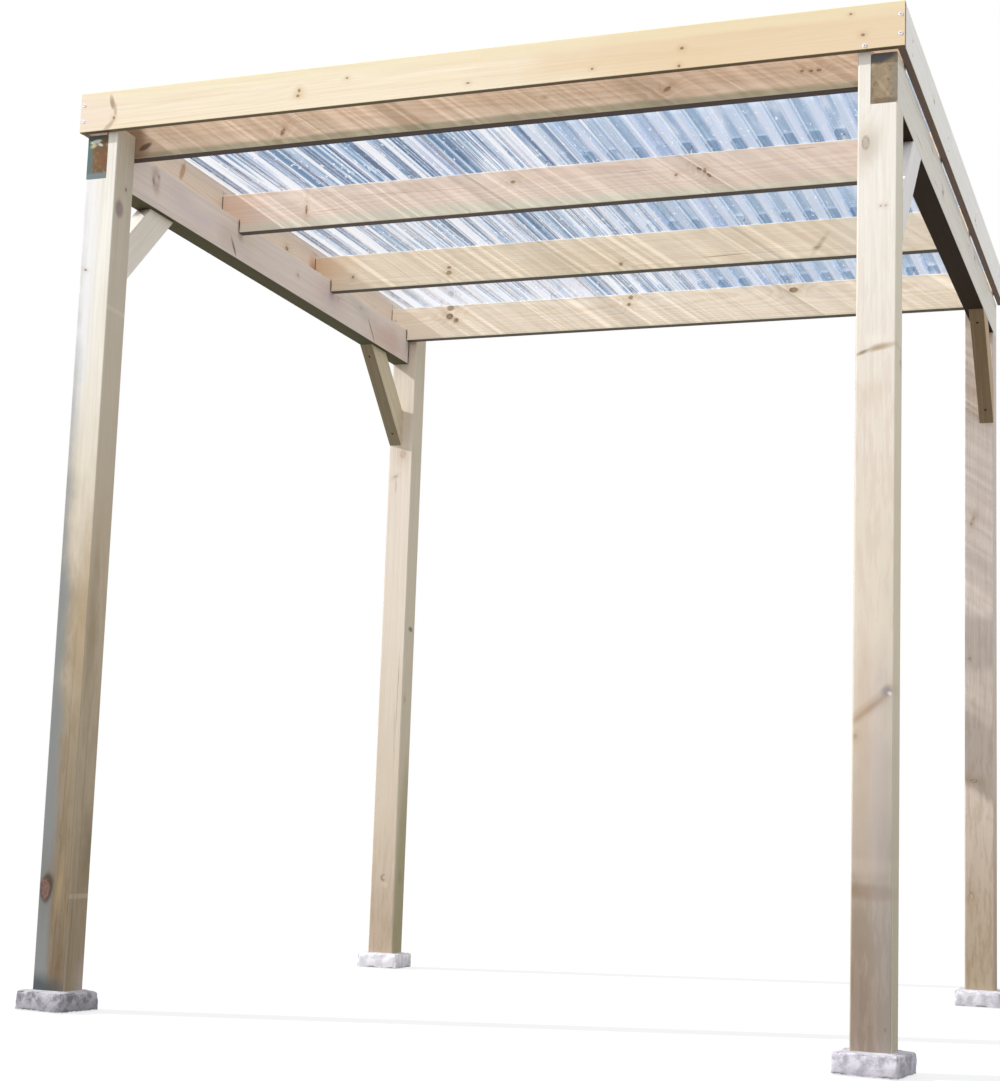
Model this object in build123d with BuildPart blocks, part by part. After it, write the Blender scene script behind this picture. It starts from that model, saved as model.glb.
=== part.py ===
# Open timber carport: square posts on concrete pads, side beams seated on rebated post heads, knee braces,
# rafters notched over the beams, fascia boards on three sides and a roof of clear ribbed sheets.
# Millimetres. +Z is up and -Y is the front. The origin is on the ground, at the centre of the part's box.
import os
from math import atan2, cos, radians, sin, sqrt, tan

from build123d import *

os.makedirs("parts", exist_ok=True)

# Bay, over the outer faces of the posts
bay_width = 2120
bay_depth = 2190

# Concrete pads
pad_side = 150
pad_height = 50
pad_corner = 5  # rounding of the upright corners
pad_bevel = 4  # bevel round the top
front_pad_turn = -8  # degrees, as the front pair is laid
rear_pad_turn = 0

# Posts
post_side = 90
post_arris = 4
shoulder_height = 2100  # from the foot of a post up to the seat of its beam
tongue_rise = 20  # the tongue stands above the beam and carries the front fascia
head_clearance = 1  # between a tongue and its beam

# Side beams
beam_width = 60
beam_depth = 120
beam_arris = 3

# Knee braces, at 45 degrees
brace_width = 45
brace_depth = 90
brace_reach = 300
brace_arris = 2
brace_bore = 9  # sinks a screw's head into the lower face, near either end
brace_bore_depth = 12
brace_bore_inset = 50

# Rafters
rafter_names = ("front_rafter", "second_rafter", "third_rafter", "rear_rafter")
rafter_width = 32
rafter_depth = 120
rafter_arris = 3
notch_depth = 40
notch_clearance = 1

# Fascia boards
fascia_thickness = 18
fascia_depth = 108
fascia_arris = 2
fascia_lift = 5  # above the top of the beams
fascia_overhang = 40  # behind the rear posts

# Roof sheets
sheet_thickness = 1.2
sheet_overhang = 60  # behind the rear posts
sheet_front_gap = 3
sheet_side_gap = 2
rib_pitch = 70
rib_height = 18
rib_base = 42
crown_width = 28
lap_clearance = 0.3
lap_place_share = 1 / 3  # place of a lap between the middle of the roof and its side

# What a cut runs past the faces that it opens
cut_overrun = 10

# Heights
shoulder_z = pad_height + shoulder_height
beam_top = shoulder_z + beam_depth
rafter_bottom = beam_top - notch_depth
rafter_top = rafter_bottom + rafter_depth
fascia_bottom = beam_top + fascia_lift


def pad_reach(turn):
    """Half the width of a pad's box once the pad is turned."""
    angle = radians(abs(turn))
    return (pad_side / 2 - pad_corner) * (cos(angle) + sin(angle)) + pad_corner


# Places: the faces of the posts, with the part's box centred on the origin
half_width = bay_width / 2
front_reach = max(pad_reach(front_pad_turn) - post_side / 2, fascia_thickness)
rear_reach = max(pad_reach(rear_pad_turn) - post_side / 2, fascia_overhang, sheet_overhang)
front_y = (front_reach - bay_depth - rear_reach) / 2
rear_y = front_y + bay_depth
post_x = half_width - post_side / 2
fascia_x = half_width  # the side fascias stand on the ends of the rafters, in line with the beams

sides = (("left", -1), ("right", 1))
ends = (("front", front_y, 1, front_pad_turn), ("rear", rear_y, -1, rear_pad_turn))


def save(piece, name):
    piece.part.label = name
    export_step(piece.part, f"parts/{name}.step")


def make_pad(name, x, y, turn):
    with BuildPart() as pad:
        with BuildSketch(Plane((x, y, 0))):
            RectangleRounded(pad_side, pad_side, pad_corner, rotation=turn)
        extrude(amount=pad_height)
        chamfer(pad.edges().group_by(Axis.Z)[-1], pad_bevel)
    save(pad, name)


def make_post(name, x, y, side):
    rebate = beam_width + head_clearance
    outward = Align.MIN if side > 0 else Align.MAX
    with BuildPart() as post:
        with BuildSketch(Plane((x, y, pad_height))):
            RectangleRounded(post_side, post_side, post_arris)
        extrude(amount=shoulder_height + beam_depth + tongue_rise)
        with BuildSketch(Plane((x, y, shoulder_z))):
            with Locations((side * (post_side / 2 - rebate), 0)):
                Rectangle(rebate + cut_overrun, post_side + cut_overrun, align=(outward, Align.CENTER))
        extrude(amount=beam_depth + tongue_rise + cut_overrun, mode=Mode.SUBTRACT)
    save(post, name)


def make_beam(name, side):
    beam_x = side * (half_width - beam_width / 2)
    with BuildPart() as beam:
        with BuildSketch(Plane((beam_x, (front_y + rear_y) / 2, shoulder_z))):
            Rectangle(beam_width, bay_depth)
        extrude(amount=beam_depth)
        fillet(beam.edges().filter_by(Axis.Y), beam_arris)
    save(beam, name)


def make_brace(name, side, outer_y, inward):
    near_x = half_width - brace_width if side > 0 else -half_width
    post_face = outer_y + inward * post_side
    upper_reach = brace_reach - brace_depth * sqrt(2)
    lower_length = brace_reach * sqrt(2)
    lower_face = Plane(
        (near_x + brace_width / 2, post_face, shoulder_z - brace_reach),
        x_dir=(0, inward, 1),
        z_dir=(0, inward, -1),
    )
    with BuildPart() as brace:
        with BuildSketch(Plane.YZ.offset(near_x)):
            with BuildLine():
                Polyline(
                    (post_face, shoulder_z - brace_reach),
                    (post_face + inward * brace_reach, shoulder_z),
                    (post_face + inward * upper_reach, shoulder_z),
                    (post_face, shoulder_z - upper_reach),
                    close=True,
                )
            make_face()
        extrude(amount=brace_width)
        fillet(brace.edges().filter_by(Axis((0, 0, 0), (0, inward, 1))), brace_arris)
        with Locations(lower_face):
            with Locations((brace_bore_inset, 0), (lower_length - brace_bore_inset, 0)):
                Hole(brace_bore / 2, brace_bore_depth)
    save(brace, name)


def make_rafter(name, face_y):
    notch_x = half_width - beam_width - notch_clearance
    with BuildPart() as rafter:
        with BuildSketch(Plane.XZ.offset(-face_y - rafter_width)):
            with BuildLine():
                Polyline(
                    (0, rafter_bottom),
                    (notch_x, rafter_bottom),
                    (notch_x, beam_top),
                    (fascia_x, beam_top),
                    (fascia_x, rafter_top),
                    (0, rafter_top),
                )
                mirror(about=Plane.YZ)
            make_face()
        extrude(amount=rafter_width)
        level_edges = rafter.edges().filter_by(Axis.X).group_by(Axis.Z)
        fillet(level_edges[0] + level_edges[-1], rafter_arris)
    save(rafter, name)


def make_front_fascia(name):
    with BuildPart() as fascia:
        with BuildSketch(Plane((0, front_y - fascia_thickness / 2, fascia_bottom))):
            Rectangle(2 * (fascia_x + fascia_thickness), fascia_thickness)
        extrude(amount=fascia_depth)
        fillet(fascia.edges().filter_by(Axis.X), fascia_arris)
    save(fascia, name)


def make_side_fascia(name, side):
    length = bay_depth + fascia_overhang
    board_x = side * (fascia_x + fascia_thickness / 2)
    with BuildPart() as fascia:
        with BuildSketch(Plane((board_x, front_y + length / 2, fascia_bottom))):
            Rectangle(fascia_thickness, length)
        extrude(amount=fascia_depth)
        fillet(fascia.edges().filter_by(Axis.Y), fascia_arris)
    save(fascia, name)


# Ribs: their crowns stand half a pitch either side of the middle, as many as fit between the side fascias
sheet_edge = fascia_x - sheet_side_gap
half_ribs = int((sheet_edge - rib_base / 2) / rib_pitch + 1 / 2)
lap_rib = round(half_ribs * lap_place_share)

# A lap rib is the plain rib moved out by the sheet below it and a clearance
rib_tilt = atan2(rib_height, (rib_base - crown_width) / 2)
lap_offset = sheet_thickness + lap_clearance
lap_base = rib_base + 2 * lap_offset / sin(rib_tilt)
lap_crown = crown_width + 2 * lap_offset * tan(rib_tilt / 2)


def rib_centre(number):
    return (number - 1 / 2) * rib_pitch


def rib_points(centre, base, crown, height):
    return [
        (centre - base / 2, 0),
        (centre - crown / 2, height),
        (centre + crown / 2, height),
        (centre + base / 2, 0),
    ]


def plain_ribs(first, last):
    points = []
    for number in range(first, last + 1):
        points += rib_points(rib_centre(number), rib_base, crown_width, rib_height)
    return points


def mirrored(points):
    return [(-x, z) for x, z in reversed(points)]


def make_sheet(name, underside):
    sheet_end = rear_y + sheet_overhang
    with BuildPart() as sheet:
        with BuildSketch(Plane((0, sheet_end, rafter_top), x_dir=(1, 0, 0), z_dir=(0, -1, 0))):
            with BuildLine():
                Polyline(*underside)
                offset(amount=sheet_thickness, side=Side.LEFT, kind=Kind.INTERSECTION)
            make_face()
        extrude(amount=sheet_end - front_y - sheet_front_gap)
    save(sheet, name)


for side_name, side in sides:
    make_beam(f"{side_name}_side_beam", side)
    make_side_fascia(f"{side_name}_fascia", side)
    for end_name, outer_y, inward, turn in ends:
        corner = f"{end_name}_{side_name}"
        post_y = outer_y + inward * post_side / 2
        make_pad(f"{corner}_pad", side * post_x, post_y, turn)
        make_post(f"{corner}_post", side * post_x, post_y, side)
        make_brace(f"{corner}_brace", side, outer_y, inward)

make_front_fascia("front_fascia")

# The first rafter stands against the front posts and the last against the rear posts
first_rafter_y = front_y + post_side
last_rafter_y = rear_y - post_side - rafter_width
for number, name in enumerate(rafter_names):
    make_rafter(name, first_rafter_y + (last_rafter_y - first_rafter_y) * number / (len(rafter_names) - 1))

# The outer sheets end in a plain rib, and the middle sheet laps over both of those
outer_underside = plain_ribs(lap_rib, half_ribs) + [(sheet_edge, 0)]
lap_points = rib_points(rib_centre(lap_rib), lap_base, lap_crown, rib_height + lap_offset)
lap_foot = (rib_centre(lap_rib) + lap_base / 2 - lap_offset / tan(rib_tilt), lap_offset)
half_underside = plain_ribs(1, lap_rib - 1) + lap_points[:-1] + [lap_foot]
make_sheet("left_roof_sheet", mirrored(outer_underside))
make_sheet("centre_roof_sheet", mirrored(half_underside) + half_underside)
make_sheet("right_roof_sheet", outer_underside)
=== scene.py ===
# Looks of the carport: camera, light, weathered pine, clear ribbed sheets, rough pads and fasteners.
# Metres, in the part's own frame: +Z up, -Y to the front, ground at zero.
import math
import random

import bmesh
import bpy
from mathutils import Matrix, Vector, noise


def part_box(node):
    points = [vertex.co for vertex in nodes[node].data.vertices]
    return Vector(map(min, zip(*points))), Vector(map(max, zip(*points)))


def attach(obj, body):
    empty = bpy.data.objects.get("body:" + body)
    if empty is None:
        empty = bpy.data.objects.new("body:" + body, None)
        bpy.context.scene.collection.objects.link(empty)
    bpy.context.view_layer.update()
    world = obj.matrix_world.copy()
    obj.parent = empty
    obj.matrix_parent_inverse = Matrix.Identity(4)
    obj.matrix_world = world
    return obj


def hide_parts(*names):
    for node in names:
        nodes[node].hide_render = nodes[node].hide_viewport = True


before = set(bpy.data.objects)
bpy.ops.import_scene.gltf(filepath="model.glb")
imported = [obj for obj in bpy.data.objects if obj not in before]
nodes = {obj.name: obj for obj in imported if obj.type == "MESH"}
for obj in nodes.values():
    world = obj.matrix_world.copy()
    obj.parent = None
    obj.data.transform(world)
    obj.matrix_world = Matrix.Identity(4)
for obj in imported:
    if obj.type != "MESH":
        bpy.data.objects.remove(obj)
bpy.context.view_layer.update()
scene = bpy.context.scene
scene.view_settings.view_transform = "Standard"
mm = 0.001
corners = ("front_left", "front_right", "rear_left", "rear_right")


class Wire:
    # a socket of a shader or geometry tree; arithmetic on it adds Math nodes
    def __init__(self, tree, socket=None):
        self.tree = tree
        self.socket = socket

    def node(self, kind, settings=None, values=None, output=0):
        made = self.tree.nodes.new(kind if "Node" in kind else "ShaderNode" + kind)
        for key, value in (settings or {}).items():
            setattr(made, key, value)
        for key, value in (values or {}).items():
            links = value if isinstance(value, list) else [value]
            for link in links:
                if isinstance(link, Wire):
                    self.tree.links.new(link.socket, made.inputs[key])
                else:
                    made.inputs[key].default_value = link
        return Wire(self.tree, made.outputs[output]) if output is not None else None

    def other(self, output):  # another output of the same node
        return Wire(self.tree, self.socket.node.outputs[output])

    def math(self, operation, *others):
        return self.node("Math", {"operation": operation}, dict(enumerate((self, *others))))

    def vector(self, operation, *others, output=0):
        return self.node("VectorMath", {"operation": operation}, dict(enumerate((self, *others))), output)

    def dot(self, way):
        return self.vector("DOT_PRODUCT", way, output="Value")

    def __add__(self, other):
        return self.math("ADD", other)

    def __sub__(self, other):
        return self.math("SUBTRACT", other)

    def __rsub__(self, other):
        return self.node("Math", {"operation": "SUBTRACT"}, {0: other, 1: self})

    def __mul__(self, other):
        return self.math("MULTIPLY", other)

    def __truediv__(self, other):
        return self.math("DIVIDE", other)

    def __pow__(self, other):
        return self.math("POWER", other)

    def __abs__(self):
        return self.math("ABSOLUTE")

    __radd__ = __add__
    __rmul__ = __mul__

    def step(self, low, high, top=1.0):
        # smooth rise from 0 at low to top at high, or a fall where low is the larger
        first, last = (0.0, top) if low < high else (top, 0.0)
        return self.node("MapRange", {"interpolation_type": "SMOOTHSTEP"}, {
            "Value": self, "From Min": min(low, high), "From Max": max(low, high),
            "To Min": first, "To Max": last})


def hue(code):
    # linear colour of a six-digit screen colour
    parts = [int(code[start:start + 2], 16) / 255 for start in (0, 2, 4)]
    return (*[part / 12.92 if part <= 0.04045 else ((part + 0.055) / 1.055) ** 2.4 for part in parts], 1)


def blend(factor, first, second, way="MIX"):
    start = next(item for item in (factor, first, second) if isinstance(item, Wire))
    return start.node("Mix", {"data_type": "RGBA", "blend_type": way}, {0: factor, 6: first, 7: second}, 2)


def startMaterial(name):
    material = bpy.data.materials.new(name)
    material.use_nodes = True
    material.node_tree.nodes.clear()
    return material, Wire(material.node_tree)


def cloud(place, stretch, seed=0.0, detail=2.0, rough=0.5):
    # noise from 0 to 1 with so many features a metre along each axis
    moved = place.vector("MULTIPLY_ADD", stretch, (seed, 1.7 * seed, 0.6 * seed))
    return place.node("TexNoise", None, {"Vector": moved, "Scale": 1.0, "Detail": detail, "Roughness": rough})


def middleOf(node):
    low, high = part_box(node)
    return (low + high) / 2


# Camera: fitted to the photo's frame of 1000 by 1081

view = {
    "place": (1.6974, -5.3878, 0.4846),
    "yaw": 21.11,  # degrees to the left of +Y
    "pitch": 8.07,
    "roll": 2.15,
    "lens": 65.04,
    "sensor": 36,
    "shift": (0.0358, 0.0111),
}


def makeCamera():
    yaw, pitch = math.radians(view["yaw"]), math.radians(view["pitch"])
    forward = Vector((-math.sin(yaw) * math.cos(pitch), math.cos(yaw) * math.cos(pitch), math.sin(pitch)))
    data = bpy.data.cameras.new("view")
    data.sensor_width = view["sensor"]
    data.lens = view["lens"]
    data.shift_x, data.shift_y = view["shift"]
    camera = bpy.data.objects.new("view", data)
    scene.collection.objects.link(camera)
    turn = forward.to_track_quat("-Z", "Y").to_matrix().to_4x4()
    roll = Matrix.Rotation(math.radians(view["roll"]), 4, "Z")
    camera.matrix_world = Matrix.Translation(view["place"]) @ turn @ roll
    scene.camera = camera


# Light: a low sun from the front left and a pale surround that is white where it shows

light = {
    "sunWay": (0.768, 0.323, -0.553),
    "sunStrength": 3.3,
    "sunSpread": 0.6,  # degrees
    "skyTone": "f8fbff",
    "skyLow": 0.90,
    "skyHigh": 0.96,
    "frontLift": 0.14,  # how much brighter the surround is towards the front
    "liftWay": (0.1, -0.99, 0),
    "floorBounce": "958f86",
    "floorShown": 0.20,
    "floorGlow": 0.745,
    "floorReach": 40,
    "floorSides": 64,
    "floorDrop": 0.5 * mm,  # below the pads
}


def shownRays(graph):
    # 1 for rays that show the background: straight, mirrored or through glass
    path = graph.node("LightPath", output="Is Camera Ray")
    shown = path.math("MAXIMUM", path.other("Is Glossy Ray"))
    return shown.math("MAXIMUM", path.other("Is Transmission Ray"))


def makeLight():
    lamp = bpy.data.lights.new("sun", "SUN")
    lamp.energy = light["sunStrength"]
    lamp.angle = math.radians(light["sunSpread"])
    sun = bpy.data.objects.new("sun", lamp)
    sun.rotation_euler = Vector(light["sunWay"]).to_track_quat("-Z", "Y").to_euler()
    scene.collection.objects.link(sun)

    world = bpy.data.worlds.new("surround")
    world.use_nodes = True
    world.node_tree.nodes.clear()
    scene.world = world
    graph = Wire(world.node_tree)
    way = graph.node("TexCoord", output="Generated")
    lift = way.dot(light["liftWay"]) * light["frontLift"]
    level = way.dot((0, 0, 1)).step(0, 1) * (light["skyHigh"] - light["skyLow"]) + light["skyLow"] + lift
    soft = graph.node("Background", None, {"Color": hue(light["skyTone"]), "Strength": level})
    white = graph.node("Background", None, {"Color": (1, 1, 1, 1), "Strength": 1.0})
    both = graph.node("MixShader", None, {0: shownRays(graph), 1: soft, 2: white})
    graph.node("OutputWorld", None, {"Surface": both}, None)


def makeFloor():
    mesh = bpy.data.meshes.new("floor")
    disc = bmesh.new()
    bmesh.ops.create_circle(disc, cap_ends=True, segments=light["floorSides"], radius=light["floorReach"])
    bmesh.ops.translate(disc, verts=disc.verts, vec=(0, 0, -light["floorDrop"]))
    disc.to_mesh(mesh)
    disc.free()
    material, graph = startMaterial("floor")
    bounce = graph.node("BsdfDiffuse", None, {"Color": hue(light["floorBounce"])})
    grey = (light["floorShown"],) * 3 + (1,)
    lit = graph.node("BsdfDiffuse", None, {"Color": grey})
    glow = graph.node("Emission", None, {"Color": (1, 1, 1, 1), "Strength": light["floorGlow"]})
    shown = graph.node("AddShader", None, {0: lit, 1: glow})
    both = graph.node("MixShader", None, {0: shownRays(graph), 1: bounce, 2: shown})
    graph.node("OutputMaterial", None, {"Surface": both}, None)
    mesh.materials.append(material)
    floor = bpy.data.objects.new("floor", mesh)
    scene.collection.objects.link(floor)


makeCamera()
makeLight()
makeFloor()
print("stage: camera, light and floor")


# Pine: rings about an off-centre pith, fibres, knots that push the rings aside, weather and stains.
# A knot is (along, across, half length, half width, tilt). Broad ones go through a board's thickness and
# narrow ones through its width. A stain is the same with a colour, a strength and a fade, which is larger
# for a softer edge. Broad stains show all round, face stains on the two broad faces, inner stains on the
# one that is turned to the middle, narrow stains on the two sides and end stains on the sawn ends. Grain
# lines and side lines are stains that wander with the grain. A foot and a mottle are (top, bottom,
# colour, strength) and grow from nothing at the top.

slant = math.sqrt(0.5)
grainAxes = {  # along the grain, through the thickness and across the width
    "x": ((1, 0, 0), (0, 1, 0), (0, 0, 1)),
    "y": ((0, 1, 0), (1, 0, 0), (0, 0, 1)),
    "z": ((0, 0, 1), (0, 1, 0), (1, 0, 0)),
    "rise": ((0, slant, slant), (1, 0, 0), (0, -slant, slant)),
    "fall": ((0, -slant, slant), (1, 0, 0), (0, slant, slant)),
}

# what a timber has unless its own look says otherwise
pine = {
    "ring": 5.5 * mm,
    "taper": 0.012,
    "sway": 9 * mm,
    "wander": 14 * mm,
    "ringDepth": 0.34,
    "streakDepth": 0.28,
    "figure": 1.0,
    "patch": 0.5,
    "fibre": 0.22,
    "coarse": 0.15,
    "checks": 0.0,
    "checkTone": "6a5338",
    "fade": 0.35,
    "knotPush": 2.2,
    "knotStrength": 0.85,
    "knot": "b0916e",
    "knotDark": "84654a",
    "knotHalo": "d9cbb8",
    "bark": "56402e",
    "endPale": "a98f6c",
    "endDark": "6f573c",
    "endWorn": "cbbfa9",
    "grime": "5c5348",
    # arrises are paled partly by wear and partly as a painted highlight
    "arrisWidth": 4 * mm,
    "arris": 0.5,
    # painted shade on faces that look down: its strength and its tone
    "under": 0.55,
    "underShadeTone": "4d3f2c",
    "sunSideShade": 0.9,  # painted shade: the side turned to the sun is darkened against its glare
    "sunSideShadeTone": "d6cab9",
    "specular": 0.25,
    "roughness": 0.62,
    "bump": 0.2,
    "bumpDepth": 0.8 * mm,
}


def spot(plane, along, across, length, width, tilt=0.0):
    # distance from an oval's centre, 1 on its outline
    moved = plane.node("Mapping", {"vector_type": "TEXTURE"}, {
        "Vector": plane, "Location": (along, across, 0),
        "Rotation": (0, 0, math.radians(tilt)), "Scale": (length, width, 1)})
    return moved.vector("LENGTH", output="Value")


def nearest(fields):
    near = fields[0]
    for field in fields[1:]:
        near = near.math("MINIMUM", field)
    return near


def stained(colour, plane, stains, ragged, shownOn=None):
    edges = {}
    for along, across, length, width, tilt, code, strength, *soft in stains:
        fade = soft[0] if soft else pine["fade"]
        if fade not in edges:
            edges[fade] = ragged * (1.7 * fade)
        reach = spot(plane, along, across, length, width, tilt) + edges[fade]
        shown = reach.step(1 + fade, 1 - fade, strength)
        if shownOn is not None:
            shown = shown * shownOn
        colour = blend(shown, colour, hue(code))
    return colour


def makePine(name, ownLook):
    look = {**pine, **ownLook}
    material, graph = startMaterial(name)
    low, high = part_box(name)
    half = (high - low) / 2
    axes = [Vector(axis) for axis in grainAxes[look["grain"]]]
    place = graph.node("TexCoord", output="Object")
    facing = place.other("Normal")
    along, thick, wide = [place.dot(axis) for axis in axes]
    grain = graph.node("CombineXYZ", None, {0: along, 1: thick, 2: wide})
    middle = [axis.dot(middleOf(name)) for axis in axes]
    halves = [sum(abs(axis[i]) * half[i] for i in range(3)) for axis in axes]
    seed = look["seed"]

    def plane(first, second):
        return graph.node("CombineXYZ", None, {0: first, 1: second})

    def tone(key):
        return hue(look[key])

    # knots through the thickness and through the width
    broadPlane, narrowPlane = plane(along, wide), plane(along, thick)
    speck = (cloud(grain, (90, 90, 90), seed, 1) - 0.5) * 0.7
    fields = [spot(broadPlane, *knot) + speck for knot in look.get("broadKnots", ())]
    fields += [spot(narrowPlane, *knot) + speck for knot in look.get("narrowKnots", ())]
    near = nearest(fields) if fields else None

    # rings
    swayThick = (cloud(grain, (1.1, 2, 2), seed + 3, 1) - 0.5) * (2 * look["sway"])
    swayWide = (cloud(grain, (1.3, 2, 2), seed + 8, 1) - 0.5) * (2 * look["sway"])
    pithThick, pithWide = look["pith"]
    offThick = thick - (middle[1] + pithThick) + swayThick
    offWide = wide - (middle[2] + pithWide) + swayWide
    radius = (offThick * offThick + offWide * offWide).math("SQRT")
    count = (radius + along * look["taper"]) / look["ring"]
    count = count + (cloud(grain, (4, 30, 30), seed + 5) - 0.5) * 1.3
    if near is not None:
        push = (near * near * -0.05).math("EXPONENT")
        count = count + push * look["knotPush"]
    turn = count.math("FRACT")
    late = turn.step(0.25, 0.9) * turn.step(1.0, 0.93)

    # fibres, broad streaks and patches
    fibre = cloud(grain, (7, 520, 520), seed + 11, 2, 0.6)
    streak = cloud(grain, (1.6, 70, 70), seed + 17, 3, 0.55)
    patch = cloud(grain, (2.2, 9, 9), seed + 23, 2, 0.55)
    coarse = cloud(grain, (2.5, 130, 130), seed + 41, 2, 0.6)
    colour = blend(late * (look["ringDepth"] * look["figure"]), tone("early"), tone("late"))
    colour = blend(streak.step(0.5, 0.78, look["streakDepth"]), colour, tone("late"))
    colour = blend(streak.step(0.46, 0.2, 0.5), colour, tone("pale"))
    colour = blend(patch.step(0.5, 0.75, look["patch"]), colour, tone("weather"))
    shade = (fibre - 0.5) * look["fibre"] + (coarse - 0.5) * look["coarse"] + 1
    colour = blend(1.0, colour, graph.node("CombineColor", None, {0: shade, 1: shade, 2: shade}), "MULTIPLY")

    # foot of a post: damp and grey towards the ground, and on the front-left post partly painted shade
    height = place.dot((0, 0, 1))
    ragged = (cloud(grain, (9, 14, 14), seed + 29, 3) - 0.5) * 0.9
    for top, bottom, code, strength in look.get("foot", ()):
        colour = blend((height + ragged * 0.25).step(top, bottom, strength), colour, hue(code))
    if "mottle" in look:
        flecks = cloud(grain, (11, 75, 75), seed + 53, 3, 0.65).step(0.47, 0.60)
        for top, bottom, code, strength in look["mottle"]:
            colour = blend(height.step(top, bottom, strength) * flecks, colour, hue(code))

    # stains, each kind on its own faces
    inward = axes[1] * (-1 if middle[1] > 0 else 1)
    innerOn = facing.dot(inward).step(0.4, 0.6)
    frontOn, sideOn = [abs(facing.dot(axis)).step(0.4, 0.6) for axis in axes[1:]]
    wander = (cloud(grain, (5, 25, 25), seed + 47, 2) - 0.5) * look["wander"]
    for key, flat, shownOn in (
        ("broadStains", broadPlane, None),
        ("innerStains", broadPlane, innerOn),
        ("faceStains", broadPlane, frontOn),
        ("narrowStains", narrowPlane, sideOn),
        ("grainLines", plane(along, wide + wander), frontOn),
        ("sideLines", plane(along, thick + wander), sideOn),
    ):
        colour = stained(colour, flat, look.get(key, ()), ragged, shownOn)

    # hairline drying checks along the grain
    check = abs(cloud(grain, (1.4, 26, 26), seed + 31, 1) - 0.5).step(0.012, 0.0, look["checks"])
    check = check * cloud(grain, (2, 6, 6), seed + 37, 1).step(0.52, 0.66)
    colour = blend(check, colour, tone("checkTone"))

    if near is not None:
        core = near.step(1.1, 0.7, look["knotStrength"])
        bark = near.step(0.6, 0.95) * near.step(1.4, 1.0, 0.8 * look["knotStrength"])
        bark = bark * (0.35 + speck.step(-0.1, 0.15))
        knotRings = abs((near * 2.2 + speck).math("FRACT") - 0.5) * 1.4
        halo = (near * near * -0.10).math("EXPONENT") * 0.45
        colour = blend(halo, colour, tone("knotHalo"), "MULTIPLY")
        colour = blend(core, colour, blend(knotRings, tone("knot"), tone("knotDark")))
        colour = blend(bark, colour, tone("bark"))

    # sawn ends, arrises paled by wear and by painted highlight, painted shade on the undersides and painted
    # shade on the side turned to the sun
    endOn = abs(facing.dot(axes[0])).step(0.6, 0.8)
    endTone = blend(late * 0.2 + patch.step(0.35, 0.7, 0.5), tone("endPale"), tone("endDark"))
    grime = cloud(grain, (60, 90, 90), seed + 43, 2, 0.65)
    endTone = blend(grime.step(0.5, 0.72, 0.5), endTone, tone("grime"))
    endTone = blend(grime.step(0.42, 0.25, 0.35), endTone, tone("endWorn"))
    endTone = stained(endTone, plane(thick, wide), look.get("endStains", ()), ragged)
    colour = blend(endOn, colour, endTone)
    edgeThick = halves[1] - abs(thick - middle[1])
    edgeWide = halves[2] - abs(wide - middle[2])
    edge = edgeThick.math("MAXIMUM", edgeWide) + ragged * mm
    # pale arrises: wear and a painted highlight
    arrisWearAndHighlightTone = hue(look.get("arrisWearAndHighlightTone", look["pale"]))
    colour = blend(edge.step(look["arrisWidth"], 0.0, look["arris"]), colour, arrisWearAndHighlightTone)
    # painted shade: faces that look down are blended towards a dark tone
    colour = blend(facing.dot((0, 0, -1)).step(0.5, 0.85, look["under"]), colour, tone("underShadeTone"))
    # painted shade: faces turned to -X, towards the sun, are multiplied darker
    sunSideShade = facing.dot((-1, 0, 0)).step(0.5, 0.85, look["sunSideShade"])
    colour = blend(sunSideShade, colour, tone("sunSideShadeTone"), "MULTIPLY")

    bump = graph.node("Bump", None, {
        "Strength": look["bump"], "Distance": look["bumpDepth"], "Height": fibre})
    surface = graph.node("BsdfPrincipled", None, {
        "Base Color": colour, "Roughness": streak * 0.2 + look["roughness"], "Normal": bump,
        "Specular IOR Level": look["specular"]})
    graph.node("OutputMaterial", None, {"Surface": surface}, None)
    return material


def dress(node, material):
    mesh = nodes[node].data
    mesh.materials.clear()
    mesh.materials.append(material)


def spareKnots(seed, count, alongSpan, acrossSpan, radii):
    # knots for the faces that the photo doesn't show
    draw = random.Random(seed)
    knots = []
    for _ in range(count):
        size = draw.uniform(*radii)
        knots.append((draw.uniform(*alongSpan), draw.uniform(*acrossSpan), 1.3 * size, size))
    return knots


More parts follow.
